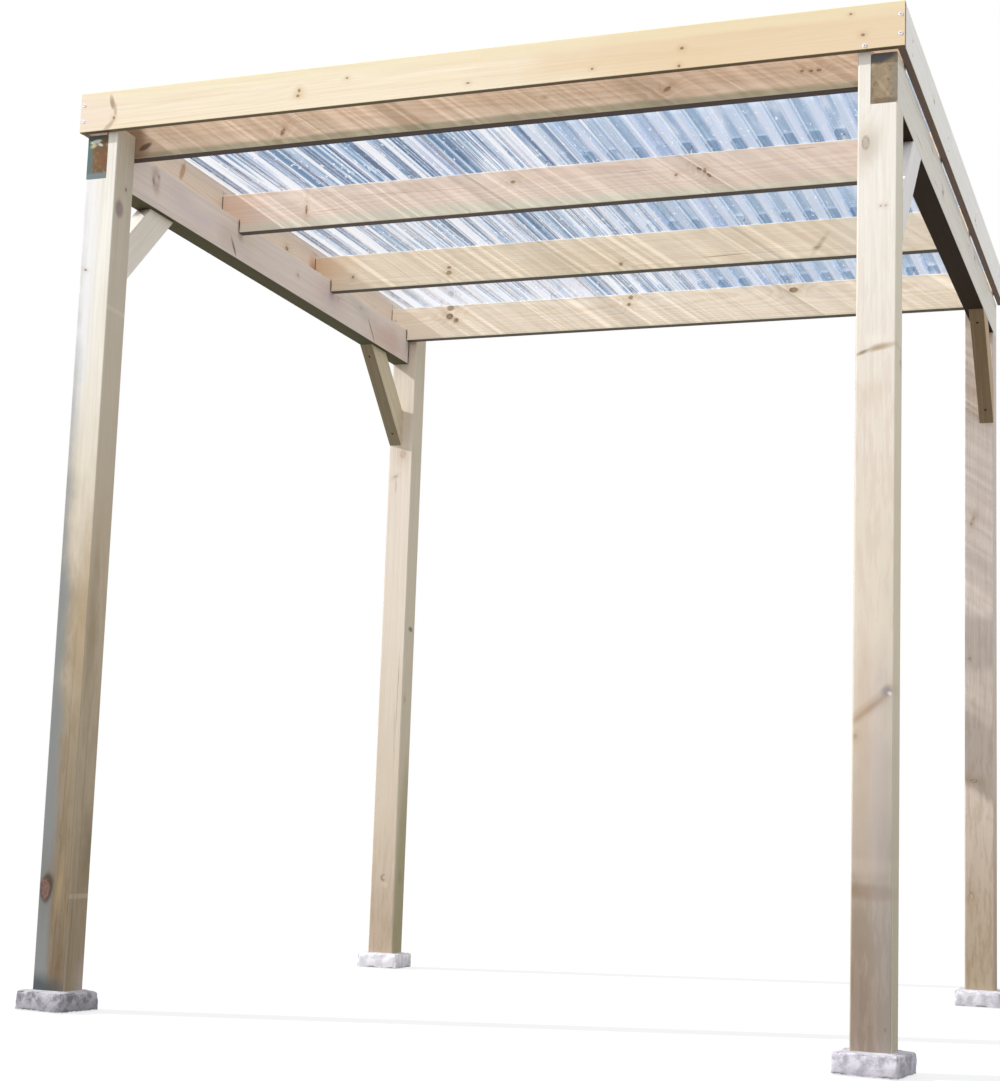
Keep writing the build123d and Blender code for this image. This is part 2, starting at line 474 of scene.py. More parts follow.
posts = {
    "front_left_post": {
        "seed": 2.0, "pith": (0.055, 0.03), "figure": 0.6, "coarse": 0.35, "arris": 0.12, "checks": 0.06,
        "early": "f0ece2", "late": "e0d4c2", "pale": "f5f3ec", "weather": "e4ddd0",
        "broadKnots": [(0.300, -1.041, 0.028, 0.014), (1.903, -1.043, 0.002, 0.004, 20)],
        "knot": "8d6c60", "knotDark": "5f463e",
        "narrowKnots": [(2.133, -1.051, 0.004, 0.003)],
        # this post's darker foot and lower mottle are partly damp and weather, partly painted shade
        "foot": [(2.0, 0.9, "c8b699", 0.75), (1.2, 0.1, "8f806a", 0.9)],
        "mottle": [(1.5, 0.7, "a08a6a", 0.45), (0.8, 0.1, "6b5640", 0.5)],
        "faceStains": [
            # the large brown patch low on the front is partly painted shade
            (0.1, -1.0, 0.95, 0.30, 0, "7d6d55", 0.6, 0.4), (1.9, -1.075, 0.45, 0.06, 0, "efeff2", 0.7),
            (0.10, -0.990, 0.10, 0.016, 0, "66503a", 0.5, 0.9),
            (0.30, -1.000, 0.06, 0.010, 4, "b09a74", 0.5, 0.9),
            (1.0, -0.985, 0.25, 0.02, 1, "b79f7c", 0.5, 0.9),
        ],
        "grainLines": [
            (0.62, -1.004, 0.30, 0.0016, 1.0, "5f4830", 0.3, 0.6),
            (0.35, -0.990, 0.24, 0.0014, 0, "5f4830", 0.25, 0.6),
            (0.15, -1.006, 0.10, 0.0030, 1.5, "55402d", 0.3, 0.6),
            (-0.4, -1.066, 2.1, 0.044, 0, "84898b", 0.85, 0.3),
            (0.303, -1.037, 0.036, 0.017, 6, "41352e", 0.85, 0.3),
            (0.045, -1.05, 0.036, 0.075, 0, "454c50", 0.9, 0.6),
        ],
        "sideLines": [
            (0.45, -1.07, 0.30, 0.0020, 0.6, "5f4830", 0.25, 0.6),
            (0.15, -1.09, 0.16, 0.0040, 0, "54402e", 0.3, 0.6),
        ],
        "narrowStains": [
            (1.3, -1.06, 1.6, 0.3, 0, "b7a78d", 0.55), (0.16, -1.06, 0.17, 0.06, 0, "75624c", 0.25, 0.9),
            (0.40, -1.03, 0.09, 0.03, 0, "6b573f", 0.5, 0.9),
            (0.075, -1.03, 0.045, 0.022, 0, "b9aaa4", 0.6, 0.9),
            (0.95, -1.08, 0.20, 0.02, 0, "8d7a60", 0.4, 0.9),
            (2.073, -1.078, 0.024, 0.020, 0, "8e7a80", 0.7), (1.798, -1.06, 0.006, 0.4, 3, "ded6c8", 0.6),
            (0.283, -1.06, 0.006, 0.4, 0, "b9ad90", 0.7), (0.725, -1.06, 0.005, 0.4, 0, "b9ad90", 0.4),
        ],
    },
    "front_right_post": {
        "seed": 5.0, "pith": (0.05, -0.04), "figure": 0.6, "checks": 0.05, "arris": 0.3,
        "early": "f0eae1", "late": "e5d9c9", "pale": "f5f1ec", "weather": "e8dfd4",
        "broadKnots": [
            (2.060, 0.989, 0.015, 0.008), (0.717, 0.977, 0.004, 0.003), (1.909, 1.024, 0.002, 0.002),
            (1.909, 1.035, 0.002, 0.002),
        ],
        "knot": "b3a799", "knotDark": "8a7d70", "knotStrength": 0.5,
        "foot": [(2.0, 1.0, "dccdb9", 0.75), (1.0, 0.1, "8c7c6d", 0.95)],
        "mottle": [(2.2, 1.2, "d3bfb0", 0.35), (0.8, 0.1, "75675c", 0.25)],
        "broadStains": [
            (1.600, 1.010, 0.014, 0.022, 0, "f6efe4", 0.5, 0.9),
            (1.480, 1.008, 0.035, 0.020, 30, "d9c6b4", 0.4, 0.9),
            (1.581, 1.024, 0.046, 0.005, 76, "b9a183", 0.6, 0.9),
            (1.583, 1.018, 0.017, 0.006, 76, "9c8460", 0.6, 0.9),
            (1.573, 0.987, 0.013, 0.0035, 66, "86734e", 0.75, 0.8),
            (0.787, 1.016, 0.052, 0.011, 51, "a98663", 0.5, 0.8),
            (0.778, 1.008, 0.036, 0.005, 51, "8d6a48", 0.45, 0.8),
            (0.817, 1.044, 0.010, 0.008, 30, "857a80", 0.75, 0.9),
            # the white dot on the grey-purple knot is a painted glint
            (0.811, 1.051, 0.003, 0.004, 30, "f4f2f4", 0.8, 0.8),
            (2.05, 1.0, 0.05, 0.022, 20, "d3cbbd", 0.5, 0.8),
            (0.385, 1.012, 0.015, 0.075, 3, "8f7763", 0.6, 0.6),
            (0.098, 1.046, 0.005, 0.003, 0, "6b584e", 0.8, 0.5),
            (0.44, 1.0, 0.016, 0.07, 2, "c9b8a8", 0.4, 0.6),
            (0.3, 1.045, 0.6, 0.022, 0, "a09c98", 0.4, 0.7),
            (0.25, 0.985, 0.12, 0.02, 0, "94806a", 0.4, 0.8),
            (0.62, 1.02, 0.20, 0.016, 0, "bcb0ae", 0.4, 0.9),
            (0.70, 0.995, 0.20, 0.012, 0, "c2a890", 0.4, 0.9),
            (0.12, 1.0, 0.10, 0.05, 0, "8d7d70", 0.35, 0.9),
        ],
        "narrowStains": [(0.9, -1.06, 1.3, 0.2, 0, "d6d0ae", 0.45)],
    },
    "rear_left_post": {
        "seed": 9.0, "pith": (-0.03, 0.06), "figure": 0.8,
        "early": "ebe0d3", "late": "d0bca4", "pale": "f1ebe1", "weather": "dacdbd",
        "broadKnots": [(1.817, -1.006, 0.013, 0.009), (1.735, -1.032, 0.006, 0.003, 60)],
        "knot": "d3b5a2", "knotDark": "ae8d7a", "knotStrength": 0.5,
        "foot": [(1.7, 0.2, "c6b59d", 0.7), (0.6, 0.0, "b09a85", 0.7)],
        "mottle": [(0.7, 0.0, "98826a", 0.3)],
        "faceStains": [
            (0.308, -1.015, 0.012, 0.009, 0, "84706a", 0.8, 0.5),
            (0.309, -1.011, 0.007, 0.006, 0, "cbbab0", 0.9, 0.5),
            (0.285, -1.008, 0.008, 0.010, 30, "dccbb4", 0.5, 0.8),
        ],
        "narrowStains": [
            (1.2, 1.05, 1.6, 0.08, 0, "c0b898", 0.4), (0.2, 1.06, 0.45, 0.06, 0, "8d8a58", 0.5),
            (1.187, 1.045, 0.008, 0.016, 0, "6f6455", 0.8, 0.6),
        ],
        "grainLines": [
            (0.95, -0.988, 0.16, 0.0015, 0.9, "96785f", 0.5, 0.6),
            (0.80, -0.995, 0.13, 0.0013, -0.9, "96785f", 0.45, 0.6),
            (1.70, -1.030, 0.022, 0.0012, 0, "7d6a60", 0.6, 0.6),
        ],
    },
    "rear_right_post": {
        "seed": 13.0, "pith": (0.04, 0.05), "figure": 0.7, "checks": 0.1,
        "early": "dfd2c8", "late": "c4b0a0", "pale": "e8dfd8", "weather": "d0c3b9",
        "broadKnots": [
            (1.53, 0.994, 0.014, 0.004, 20), (1.084, 0.985, 0.004, 0.003), (0.697, 0.998, 0.005, 0.010),
            (0.338, 0.992, 0.011, 0.005, -15),
        ],
        "knot": "c9b39c", "knotDark": "a18a74", "knotStrength": 0.6,
        "foot": [(1.5, 0.3, "b9a692", 0.6), (0.7, 0.0, "a08d72", 0.7)],
        "mottle": [(1.9, 0.6, "b5a28f", 0.4), (0.8, 0.0, "8d7859", 0.45)],
    },
}

beams = {
    "left_side_beam": {
        "seed": 21.0, "pith": (0.03, -0.05), "coarse": 0.25,
        "early": "f4e9e2", "late": "d6c1b2", "pale": "f6f0ec", "weather": "e0d5cf",
        "broadKnots": [(0.060, 2.217, 0.005, 0.004)],
        "knot": "e4d8cc", "knotDark": "b59c8a", "knotStrength": 0.6,
        "innerStains": [
            (-0.848, 2.225, 0.017, 0.030, 10, "b59c90", 0.65, 0.9),
            (-0.846, 2.232, 0.007, 0.010, 10, "e9dcd8", 0.85, 0.7),
            (-0.852, 2.208, 0.005, 0.006, 0, "d9c9c4", 0.8, 0.7),
            (-0.862, 2.222, 0.004, 0.010, 20, "7d6358", 0.6, 0.8),
            (-0.835, 2.243, 0.006, 0.004, 0, "866c60", 0.5, 0.8),
            (-0.381, 2.181, 0.030, 0.0055, -53, "7a5446", 0.9, 0.6),
            (-0.30, 2.235, 0.07, 0.02, 0, "f2e6da", 0.5, 0.9),
            (-0.70, 2.235, 0.08, 0.03, -8, "dfd2d6", 0.35, 0.9),
            (-0.42, 2.20, 0.05, 0.03, 0, "d8c8bb", 0.5, 0.9),
            (0.30, 2.22, 0.10, 0.03, 0, "dccbd0", 0.5, 0.9),
            (0.652, 2.189, 0.046, 0.0045, -47, "6f4f42", 0.75),
            (0.560, 2.235, 0.10, 0.02, -10, "cfc8bc", 0.5, 0.8),
            (0.80, 2.19, 0.14, 0.04, 0, "d0ab98", 0.55, 0.9),
            # the dark line at 0.990 is painted shadow in the gap where the post's tongue meets the beam
            (-0.60, 2.20, 0.12, 0.02, 5, "e3d6dc", 0.5, 0.8), (0.990, 2.19, 0.004, 0.08, 0, "3a2c26", 0.8),
        ],
        # painted shade on the underside
        "under": 0.95, "underShadeTone": "47451f", "specular": 0.1,
        "endPale": "8d6f4e", "endDark": "5f4a34",
        "endStains": [
            (-1.058, 2.19, 0.014, 0.085, 0, "61797a", 0.9), (-1.03, 2.154, 0.05, 0.012, 0, "7d8f93", 0.8),
            (-1.05, 2.262, 0.04, 0.018, 0, "4c6266", 0.8), (-1.036, 2.253, 0.016, 0.005, 8, "dcdacb", 0.95),
            (-1.024, 2.245, 0.010, 0.004, -30, "d8d6c8", 0.9),
            (-1.043, 2.242, 0.009, 0.006, 20, "d6d0aa", 0.8, 0.7),
            (-1.015, 2.205, 0.012, 0.02, 0, "8a5a40", 0.6, 0.8),
        ],
    },
    "right_side_beam": {
        "seed": 26.0, "pith": (-0.035, 0.045),
        "early": "f3f0e8", "late": "dad1c0", "pale": "f6f5ef", "weather": "e4e1d9",
        "broadKnots": [(-0.3, 2.2, 0.009, 0.006), (0.45, 2.24, 0.007, 0.005)],
        # the near-black underside is painted shade
        "under": 0.98, "underShadeTone": "2a1a09", "specular": 0.03,
        "endPale": "ad9a80", "endDark": "86735c",
        "endStains": [
            (1.02, 2.264, 0.035, 0.016, 10, "545a60", 0.85),
            (1.022, 2.195, 0.030, 0.004, -58, "cdbd9e", 0.35, 0.8),
            (1.053, 2.19, 0.006, 0.06, 0, "8a8880", 0.6), (1.03, 2.156, 0.03, 0.008, 0, "6e5f4e", 0.6),
            (1.012, 2.22, 0.016, 0.02, 0, "94866f", 0.5, 0.8),
        ],
    },
}

braces = {
    "all": {
        "early": "e6ddd0", "late": "c9b9a0", "pale": "efe9df", "weather": "d3c9b8", "pith": (0.02, 0.05),
        # painted shade on the undersides of the braces, here and in each brace below
        "under": 0.85, "underShadeTone": "5c5138",
    },
    "front_left": {
        "seed": 31.0, "early": "f7f2ea", "late": "e2d6c5", "pale": "f9f6f1", "weather": "ece6dc",
        # the dark mark at the brace's top end is partly painted shadow of the beam, partly a knot
        "narrowStains": [(0.915, -1.045, 0.022, 0.016, 15, "5f4034", 0.75, 0.8)],
    },
    "front_right": {
        "seed": 33.3, "early": "f8f6f5", "late": "e8e3dd", "pale": "fbfaf9", "weather": "f0edea",
        "under": 0.95, "underShadeTone": "2a1e1c", "specular": 0.1,
    },
    "rear_left": {
        "seed": 35.6, "early": "d6caae", "late": "b8a684", "weather": "c3b494",
        "under": 0.9, "underShadeTone": "4a4029",
    },
    "rear_right": {
        "seed": 37.9, "early": "c9b394", "late": "ab9170", "weather": "b79f80",
        "under": 0.9, "underShadeTone": "4a3a22", "specular": 0.1,
    },
}

rafters = {
    "front_rafter": {
        "seed": 41.0, "pith": (0.045, -0.03),
        "early": "f0dac6", "late": "d4b091", "pale": "f6e7d8", "weather": "e2cab4",
        "broadKnots": [
            (0.497, 2.273, 0.009, 0.004, 25), (0.864, 2.281, 0.005, 0.003), (0.845, 2.281, 0.004, 0.003),
            (0.824, 2.283, 0.004, 0.003), (-0.532, 2.264, 0.004, 0.009, -25),
        ],
        "broadStains": [
            # painted light and shade of the rounded lower arris along 2.233; painted shadow of the fascia and
            # beam at the left end, with the dark triangle on the next line
            (0.0, 2.233, 1.4, 0.016, 0, "a9a68d", 0.8), (-0.99, 2.29, 0.05, 0.10, 20, "8a6850", 0.7),
            (-0.940, 2.262, 0.020, 0.008, 25, "5a3c34", 0.8),
            # the pale line along the top edge at 2.352 is a painted highlight
            (0.186, 2.285, 0.012, 0.006, 0, "a98a6c", 0.5, 0.8), (0.1, 2.352, 1.4, 0.005, 0, "fffaf0", 0.8),
        ],
    },
    "second_rafter": {
        "seed": 46.0, "pith": (0.05, 0.035),
        "early": "f8e6d9", "late": "e0bfa8", "pale": "faf0e7", "weather": "edd6c6",
        "broadKnots": [
            (0.412, 2.304, 0.007, 0.003, -30), (0.428, 2.297, 0.004, 0.006, 10),
            (0.440, 2.283, 0.007, 0.003, -40), (0.347, 2.292, 0.004, 0.003), (-0.13, 2.313, 0.006, 0.004),
            (-0.777, 2.284, 0.003, 0.012),
        ],
        "broadStains": [
            # painted shadow of the left fascia on the left end, and a painted highlight along the top edge at
            # 2.352
            (-1.02, 2.32, 0.09, 0.09, -40, "dcb08c", 0.4, 0.9), (0.0, 2.352, 1.4, 0.005, 0, "fffaf0", 0.9),
            (0.222, 2.3125, 0.05, 0.0008, 0, "8c6a50", 0.7),
            (0.705, 2.3355, 0.03, 0.0008, 0, "8c6a50", 0.7),
            (-0.40, 2.309, 0.22, 0.0008, -1, "a07c60", 0.5), (-0.70, 2.275, 0.05, 0.0008, 2, "9a7a62", 0.6),
            # painted light along the rounded lower arris at 2.230
            (-0.35, 2.230, 0.8, 0.032, 0, "e6e3d2", 0.85), (0.5, 2.230, 0.9, 0.018, 0, "e3e0cc", 0.8),
        ],
    },
    "third_rafter": {
        "seed": 52.0, "pith": (-0.04, -0.045),
        "early": "f8ead5", "late": "e0c29d", "pale": "faf3e5", "weather": "ecd9bb",
        "broadKnots": [
            (-0.001, 2.254, 0.006, 0.005), (-0.579, 2.265, 0.008, 0.006), (-0.579, 2.283, 0.006, 0.004),
            (-0.919, 2.274, 0.004, 0.004),
        ],
        "broadStains": [
            # painted light along the rounded lower arris at 2.231, and a painted highlight along the top edge
            # at 2.352
            (0.0, 2.231, 1.3, 0.007, 0, "e3dfc6", 0.7), (0.0, 2.352, 1.4, 0.005, 0, "fffaf0", 0.9),
            (0.325, 2.258, 0.07, 0.0010, 1, "6d5236", 0.8), (0.85, 2.31, 0.2, 0.08, 0, "efe6d6", 0.6),
            (0.623, 2.275, 0.033, 0.007, 54, "a08b66", 0.5, 0.9),
            (0.610, 2.262, 0.012, 0.005, 15, "8a744f", 0.5, 0.9),
            # painted shadow of the left fascia on the left end
            (-1.03, 2.32, 0.08, 0.09, -40, "dcae80", 0.45, 0.9),
        ],
    },
    "rear_rafter": {
        "seed": 57.0, "pith": (0.05, 0.03),
        "early": "fff2e0", "late": "e8caa6", "pale": "fff8ec", "weather": "f4e2c9",
        "broadKnots": [
            (0.410, 2.326, 0.013, 0.008), (-0.159, 2.337, 0.007, 0.006), (-0.165, 2.311, 0.005, 0.005),
            (-0.831, 2.340, 0.012, 0.009), (-0.833, 2.309, 0.012, 0.009), (-0.808, 2.293, 0.008, 0.007),
        ],
        "knot": "a98f74", "knotDark": "7d634c",
        "broadStains": [
            # painted light along the rounded lower arris at 2.231, and a painted highlight along the top edge
            # at 2.352
            (0.0, 2.231, 1.3, 0.007, 0, "e6e1c8", 0.7), (0.0, 2.352, 1.4, 0.005, 0, "fffaf0", 0.9),
        ],
    },
}
for look in rafters.values():
    # painted shade on the rafters' undersides
    look.update({"under": 0.9, "underShadeTone": "33242a"})
    for side in (-1, 1):  # shadow lines where a rafter meets a beam and a side fascia
        look["broadStains"] += [
            (side * 0.9975, 2.25, 0.0025, 0.02, 0, "33241e", 0.85),
            (side * 1.0585, 2.31, 0.0018, 0.05, 0, "4a3529", 0.8),
        ]

fascias = {
    "front_fascia": {
        "grain": "x", "seed": 63.0, "pith": (0.06, 0.02), "figure": 0.5,
        "early": "f3e5cc", "late": "e2c79d", "pale": "f8f0dc", "weather": "ecd9b6",
        # painted shade on the underside, and a yellow painted highlight with wear along the arrises
        "under": 0.85, "underShadeTone": "4a3628", "arrisWearAndHighlightTone": "f0e8b8", "arris": 0.6,
        "broadKnots": [
            (-0.976, 2.307, 0.003, 0.004), (-0.440, 2.312, 0.004, 0.003), (-0.437, 2.326, 0.003, 0.004),
            (-0.305, 2.345, 0.003, 0.002), (0.022, 2.297, 0.004, 0.002), (0.34, 2.299, 0.003, 0.002),
            (0.56, 2.326, 0.004, 0.003), (0.554, 2.283, 0.003, 0.003), (0.956, 2.363, 0.003, 0.002),
            (0.984, 2.310, 0.004, 0.003),
        ],
        "knot": "957a5e", "knotDark": "6d533b",
        "broadStains": [
            (-1.04, 2.33, 0.06, 0.06, 0, "efdccb", 0.6), (-0.984, 2.352, 0.006, 0.019, 14, "a68c78", 0.85),
            (-0.973, 2.330, 0.004, 0.016, 6, "c0a892", 0.7),
            (-0.992, 2.284, 0.024, 0.007, 45, "c2ab98", 0.75),
            (-0.435, 2.318, 0.016, 0.012, 0, "ead0ac", 0.6, 0.8), (0.9, 2.33, 0.7, 0.12, 0, "e0c096", 0.55),
            (0.2, 2.375, 1.4, 0.022, 0, "efe2bd", 0.5),
        ],
    },
    "left_fascia": {
        "grain": "y", "seed": 68.0, "pith": (0.05, -0.03),
        "early": "f3e2d0", "late": "dcbd9f", "pale": "f7ece0", "weather": "e8d3bd",
        # painted shade on the underside
        "under": 0.8, "underShadeTone": "4a3628",
        "broadKnots": [(0.091, 2.319, 0.009, 0.006), (0.8, 2.30, 0.006, 0.005)],
        "innerStains": [
            (-0.602, 2.345, 0.012, 0.030, -25, "bf8a5c", 0.7),
            (0.285, 2.31, 0.022, 0.03, 0, "c98c50", 0.6, 0.9),
            (0.27, 2.30, 0.010, 0.010, 20, "a8603a", 0.5, 0.9),
        ],
    },
    "right_fascia": {
        "grain": "y", "seed": 73.0, "pith": (-0.05, 0.03),
        "early": "fdfcf8", "late": "f2eee4", "pale": "fefdfb", "weather": "f7f6f1",
        # painted shade on the underside, and a pale painted highlight with wear along the arrises
        "under": 0.9, "underShadeTone": "4e2a1c", "arrisWearAndHighlightTone": "f0ecc0", "arris": 0.6,
        "broadKnots": [(-0.62, 2.33, 0.006, 0.004), (0.3, 2.31, 0.005, 0.004)],
    },
}

spare = {
    "count": 2,
    "heights": (0.3, 2.0),
    "acrossReach": 30 * mm,
    "radii": (3 * mm, 5 * mm),
}


def dressTimber():
    looks = {}
    for name, look in posts.items():
        middle, reach = middleOf(name).y, spare["acrossReach"]
        narrow = spareKnots(
            look["seed"], spare["count"], spare["heights"], (middle - reach, middle + reach), spare["radii"])
        looks[name] = {"checks": 0.3, "narrowKnots": narrow, **look, "grain": "z"}
    for name, look in beams.items():
        looks[name] = {"checks": 0.25, **look, "grain": "y"}
    for corner in corners:
        grain = "rise" if "front" in corner else "fall"
        looks[f"{corner}_brace"] = {**braces["all"], **braces[corner], "grain": grain}
    for name, look in rafters.items():
        looks[name] = {**look, "grain": "x"}
    looks.update(fascias)
    for name, look in looks.items():
        dress(name, makePine(name, look))


dressTimber()
print("stage: timber")


# Clear sheets: a tinted film that mirrors at low angles, darker on crowns and slopes, with a painted
# highlight high on the slopes

film = {
    "sheets": ("left_roof_sheet", "centre_roof_sheet", "right_roof_sheet"),
    "pitch": 70 * mm,
    "crownStart": 21 * mm,  # from the middle to the first crown
    "lapPlace": 315 * mm,
    "lapReach": (34 * mm, 26 * mm),
    "marginReach": (1.015, 1.04),
    "crownRise": (4 * mm, 13 * mm),  # heights above the flats
    # painted highlight: the band of heights on the slopes that is whitened
    "slopeHighlightRise": (9.5 * mm, 12.5 * mm),
    "slopeHighlightFall": (18.5 * mm, 16.5 * mm),
    "boxReach": (51.5 * mm, 48.5 * mm),  # the crowns are tinted darker so far either side of a rafter's middle
    "flatTone": "e7effb",
    "crownTone": "c1d5e8",
    "boxTone": "98b3cb",
    "whiteStreakAndHighlightTone": "fdfdff",
    "mirrorTone": "f4f8ff",
    "sunClear": "ffffff",
    "sunDim": "bababa",
    "gloss": 0.07,
    "clouds": {  # features a metre along each axis, seed, octaves and roughness
        "bands": ((60, 0.5, 0), 3.0, 1, 0.6),
        "lines": ((140, 0.4, 0), 1.0, 2),
        "hairs": ((260, 0.4, 0), 21.0, 1),
        "broad": ((3.5, 1.6, 0), 4.0, 2, 0.6),
        "drops": ((120, 32, 120), 7.0, 2),
        "mixedRibs": ((17, 2.2, 0), 27.0, 2, 0.6),
        "threads": ((62, 0.8, 0), 12.0, 1),
        "bundles": ((13, 1, 0), 15.0),
        "faint": ((70, 0.6, 0), 18.0, 1),
    },
}


def makeFilm():
    material, graph = startMaterial("clear_sheet")
    place = graph.node("TexCoord", output="Object")
    facing = place.other("Normal")
    sideways, upward = facing.dot((1, 0, 0)), facing.dot((0, 0, 1))
    across, back, height = [place.dot(axis) for axis in grainAxes["x"]]
    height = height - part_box("left_roof_sheet")[0].z
    crown = height.step(*film["crownRise"])
    slope = abs(sideways).step(0.4, 0.8)
    clouds = {key: cloud(place, *values) for key, values in film["clouds"].items()}
    bands, lines, hairs, mixedRibs = [clouds[key] for key in ("bands", "lines", "hairs", "mixedRibs")]
    leftward = across.step(0.35, -0.3)  # finer, whiter streaks towards the left
    rearward = back.step(-0.4, 0.9) * across.step(0.1, -0.8)
    margin = abs(across).step(*film["marginReach"])
    lap = abs(abs(across) - film["lapPlace"]).step(*film["lapReach"])
    over = nearest([abs(back - middleOf(name).y) for name in rafters])
    box = over.step(*film["boxReach"]) * crown

    def clearFilm(tone):
        return graph.node("BsdfTransparent", None, {"Color": hue(film[tone])})

    def mixed(factor, first, second):
        return graph.node("MixShader", None, {0: factor, 1: first, 2: second})

    def clamped(factor):
        return graph.node("Clamp", None, {"Value": factor})

    ribs = crown * (mixedRibs.step(0.35, 0.62) * 0.6 + 0.5)
    ribs = ribs + (bands.step(0.42, 0.58) - 0.5) * (leftward * 0.2 + 0.4)
    dark = lines.step(0.54, 0.59) * (leftward + 0.06) + hairs.step(0.55, 0.60, 0.7) * leftward
    dark = box * (0.95 - leftward * 0.45) + dark
    # painted highlight: a white line high on the slopes
    slopeHighlight = slope * height.step(*film["slopeHighlightRise"]) * height.step(*film["slopeHighlightFall"]) * bands.step(0.35, 0.6)
    white = lines.step(0.475, 0.425) * (leftward * 0.95 + 0.1) + hairs.step(0.44, 0.39, 0.7) * leftward
    white = white + clouds["broad"].step(0.5, 0.68, 0.35) * leftward + rearward * 0.6
    # the slopes are whitened a little more as painted highlight
    white = white + slopeHighlight * 0.6 + slope * 0.1 + lap * 0.45 + margin * 0.8
    white = white + (clouds["drops"] + leftward * 0.03).step(0.66, 0.70, 0.9)
    white = white + mixedRibs.step(0.44, 0.30, 0.5) * crown
    shown = mixed(clamped(ribs * (1 - lap * 0.5)), clearFilm("flatTone"), clearFilm("crownTone"))
    shown = mixed(clamped(dark * (1 - lap * 0.7) * (1 - margin)), shown, clearFilm("boxTone"))
    shown = mixed(clamped(white), shown, clearFilm("whiteStreakAndHighlightTone"))
    gloss = graph.node("BsdfPrincipled", None, {
        "Base Color": hue(film["mirrorTone"]), "Metallic": 1.0, "Roughness": film["gloss"]})
    turned = graph.node("LayerWeight", output="Facing")
    body = mixed(((turned ** 5) * 0.9 + 0.03) * (1 - lap * 0.5), shown, gloss)

    # the sun shines through in narrow streaks and is dimmed between them
    threads = abs(clouds["threads"] - 0.5).step(0.050, 0.030)
    threads = threads * (clouds["bundles"].step(0.36, 0.6, 0.8) + 0.2) * (leftward * 0.55 + 0.45)
    faint = abs(clouds["faint"] - 0.5).step(0.080, 0.045, 0.45)
    # a ray that leaves a rib by its lee side has met the sheet before, so it isn't dimmed again
    inRib = ((across - film["crownStart"]) / film["pitch"]).math("FRACT")
    lateCrown = crown * inRib.step(0.12, 0.14) * inRib.step(0.65, 0.6)
    lee = (sideways * upward).step(0.1, 0.25).math("MAXIMUM", lateCrown)
    gap = (threads + faint).math("MAXIMUM", lee).math("MINIMUM", 1.0)
    through = mixed(gap, clearFilm("sunDim"), clearFilm("sunClear"))
    path = graph.node("LightPath", output="Is Shadow Ray")
    both = mixed(path.other("Is Diffuse Ray"), body, clearFilm("sunClear"))
    graph.node("OutputMaterial", None, {"Surface": mixed(path, both, through)}, None)
    return material


clearSheet = makeFilm()
for sheetName in film["sheets"]:
    dress(sheetName, clearSheet)
print("stage: sheets")


# Pads: weathered concrete with chipped edges, in place of the plain solids

pads = {
    "side": 150 * mm,
    "frontTurn": 8,  # degrees, as the front pair is laid
    "weld": 0.05 * mm,
    "voxel": 2.5 * mm,
    "swell": 3.2 * mm,
    "swellScale": 40,
    "grit": 0.7 * mm,
    "gritScale": 240,
    "chip": 9 * mm,
    "chipScale": 26,
    "crumbScale": 70,
    "chipShare": 0.12,
    "chipZone": 12 * mm,
    "footZone": 6 * mm,  # keeps the chips off the lower edge
    "seat": 52 * mm,  # half side of the flat bed under a post
    "seatDepth": 4 * mm,
    # painted shade: the grey that the flat tops are blended towards
    "topShadeTone": "c6c6c8",
    "litAndShadedPatchTones": {  # pale and dark patches; the front-left pair is darker as painted shade and the rear-left pair paler as painted light
        "front_left": ("bebcc1", "807d85"),
        "front_right": ("dcd8e1", "a7a3ae"),
        "rear_left": ("f6f4f8", "d8d5dd"),
        "rear_right": ("e8e6ea", "c2bfc8"),
    },
}


def makeConcrete(name, paleTone, darkTone):
    material, graph = startMaterial(name)
    pale, dark = hue(paleTone), hue(darkTone)
    place = graph.node("TexCoord", output="Object")
    patch = cloud(place, (34, 34, 34), 2.0, 4, 0.65)
    grit = cloud(place, (420, 420, 420), 5.0, 3, 0.6)
    stones = graph.node("TexVoronoi", {"feature": "F1"}, {"Vector": place, "Scale": 130.0}, "Distance")
    colour = blend(patch.step(0.38, 0.62), pale, dark)
    colour = blend(grit.step(0.55, 0.75, 0.6), colour, dark)
    colour = blend(grit.step(0.42, 0.3, 0.5), colour, pale)
    colour = blend(stones.step(0.28, 0.12, 0.35), colour, dark)
    # painted shade on the flat top of a pad
    topShade = place.other("Normal").dot((0, 0, 1)).step(0.6, 0.9, 0.5)
    colour = blend(topShade, colour, hue(pads["topShadeTone"]))
    damp = (place.dot((0, 0, 1)) + (patch - 0.5) * 0.04).step(0.03, 0.0, 0.45)
    colour = blend(damp, colour, dark)
    bump = graph.node("Bump", None, {"Strength": 0.6, "Distance": mm, "Height": grit * 0.7 + patch * 0.5})
    surface = graph.node("BsdfPrincipled", None, {
        "Base Color": colour, "Roughness": 0.9, "Normal": bump, "Specular IOR Level": 0.2})
    graph.node("OutputMaterial", None, {"Surface": surface}, None)
    return material


